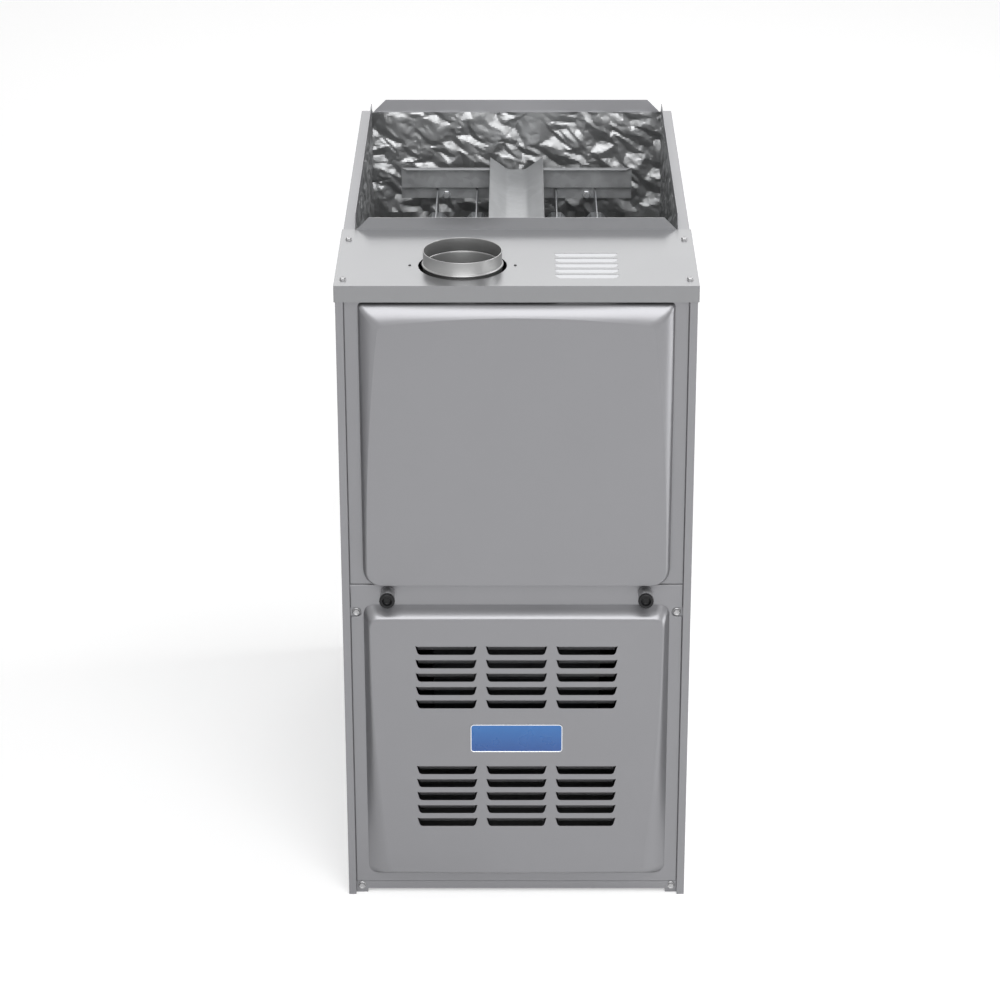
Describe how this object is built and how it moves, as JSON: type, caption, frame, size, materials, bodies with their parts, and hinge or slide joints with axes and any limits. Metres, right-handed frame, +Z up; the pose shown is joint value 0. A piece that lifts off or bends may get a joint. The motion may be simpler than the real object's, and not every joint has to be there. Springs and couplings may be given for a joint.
{
  "type": "forced air gas furnace",
  "caption": "Upright sheet-steel warm-air gas furnace with pull-off louvred doors, open supply outlet on top, round flue collar, burners, heat exchanger and blower.",
  "frame": {"origin": "centre of the footprint's bounding box at floor level", "axes": "+Z up; -Y is the front with the doors, so +Y points from the doors to the back; +X is to the right of someone facing the doors"},
  "size_m": [0.4478, 0.77, 0.877],
  "materials": {
    "casing_paint": "satin grey powder coat on sheet steel",
    "top_paint": "light grey powder coat, slightly glossy",
    "door_paint": "satin grey powder coat on pressed sheet steel",
    "galvanised": "galvanised sheet steel with a fine spangle",
    "aluminised": "matt aluminised steel",
    "foil_liner": "crinkled aluminium foil facing on glass-fibre blanket",
    "pipe_steel": "brushed vent pipe steel",
    "black_plastic": "moulded black plastic",
    "badge_blue": "blue enamelled plate with a thin silver border, no lettering",
    "zinc_screw": "zinc plated",
    "black_iron": "black iron pipe",
    "valve_aluminium": "die-cast valve body",
    "motor_black": "black enamelled motor can",
    "board_green": "green circuit board",
    "ceramic": "white ceramic and its steel clip",
    "switch_body": "phenolic switch body",
    "red_button": "red reset button",
    "hose_rubber": "soft rubber tube",
    "white_nylon": "white nylon plunger"
  },
  "bodies": {
    "cabinet": {"side_panel_left": "casing_paint", "side_panel_right": "casing_paint", "back_panel": "casing_paint", "base_pan": "casing_paint", "top_panel": "top_paint", "cross_rail": "galvanised", "blower_deck": "galvanised", "vestibule_panel": "galvanised", "air_trough": "galvanised", "cell_support": "galvanised", "burner_shelf": "galvanised", "blower_housing": "galvanised", "motor_mount": "galvanised", "control_tray": "galvanised", "heat_exchanger_cell_1": "aluminised", "heat_exchanger_cell_2": "aluminised", "heat_exchanger_cell_3": "aluminised", "heat_exchanger_cell_4": "aluminised", "heat_exchanger_cell_5": "aluminised", "burner_1": "aluminised", "burner_2": "aluminised", "burner_3": "aluminised", "burner_4": "aluminised", "burner_5": "aluminised", "collector_box": "aluminised", "inducer_housing": "aluminised", "insulation_left": "foil_liner", "insulation_right": "foil_liner", "insulation_back": "foil_liner", "flue_collar": "pipe_steel", "casing_screw_upper_left": "zinc_screw", "casing_screw_upper_right": "zinc_screw", "casing_screw_lower_left": "zinc_screw", "casing_screw_lower_right": "zinc_screw", "gas_manifold": "black_iron", "gas_valve": "valve_aluminium", "inducer_motor": "motor_black", "blower_motor": "motor_black", "transformer": "motor_black", "circuit_board": "board_green", "igniter": "ceramic", "flame_sensor": "ceramic", "rollout_switch_left": "switch_body", "rollout_switch_right": "switch_body", "limit_switch": "switch_body", "pressure_switch": "switch_body", "door_switch": "switch_body", "pressure_hose": "hose_rubber"},
    "burner_door": {"burner_door": "door_paint"},
    "blower_door": {"blower_door": "door_paint", "badge_plate": "badge_blue"},
    "knob_left": {"door_knob_left": "black_plastic"},
    "knob_right": {"door_knob_right": "black_plastic"},
    "blower_rotor": {"blower_wheel": "galvanised", "blower_shaft": "pipe_steel"},
    "inducer_rotor": {"inducer_wheel": "galvanised"},
    "valve_knob": {"gas_valve_knob": "black_plastic"},
    "switch_plunger": {"door_switch_plunger": "white_nylon"},
    "reset_button_left": {"rollout_button_left": "red_button"},
    "reset_button_right": {"rollout_button_right": "red_button"}
  },
  "joints": [
    {"name": "burner_door_pull", "type": "slide", "parent": "cabinet", "child": "burner_door", "axis": [0, -1, 0], "range_m": [0, 0.25]},
    {"name": "blower_door_pull", "type": "slide", "parent": "cabinet", "child": "blower_door", "axis": [0, -1, 0], "range_m": [0, 0.25]},
    {"name": "door_knob_left_turn", "type": "hinge", "parent": "blower_door", "child": "knob_left", "pos_m": [-0.164, -0.366, 0.441], "axis": [0, -1, 0], "continuous": true},
    {"name": "door_knob_right_turn", "type": "hinge", "parent": "blower_door", "child": "knob_right", "pos_m": [0.164, -0.366, 0.441], "axis": [0, -1, 0], "continuous": true},
    {"name": "blower_spin", "type": "hinge", "parent": "cabinet", "child": "blower_rotor", "pos_m": [0, 0.119, 0.235], "axis": [1, 0, 0], "continuous": true},
    {"name": "inducer_spin", "type": "hinge", "parent": "cabinet", "child": "inducer_rotor", "pos_m": [-0.019, -0.287, 0.7], "axis": [0, 1, 0], "continuous": true},
    {"name": "gas_valve_turn", "type": "hinge", "parent": "cabinet", "child": "valve_knob", "pos_m": [0.172, -0.341, 0.503], "axis": [0, -1, 0], "range_deg": [0, 90]},
    {"name": "switch_plunger_travel", "type": "slide", "parent": "cabinet", "child": "switch_plunger", "axis": [0, -1, 0], "range_m": [0, 0.006]},
    {"name": "reset_left_press", "type": "slide", "parent": "cabinet", "child": "reset_button_left", "axis": [0, 1, 0], "range_m": [0, 0.002], "stiffness_N_per_m": 400},
    {"name": "reset_right_press", "type": "slide", "parent": "cabinet", "child": "reset_button_right", "axis": [0, 1, 0], "range_m": [0, 0.002], "stiffness_N_per_m": 400}
  ],
  "couplings": [
    {"joint": "switch_plunger_travel", "follows": "blower_door_pull", "ratio": 0.024}
  ]
}
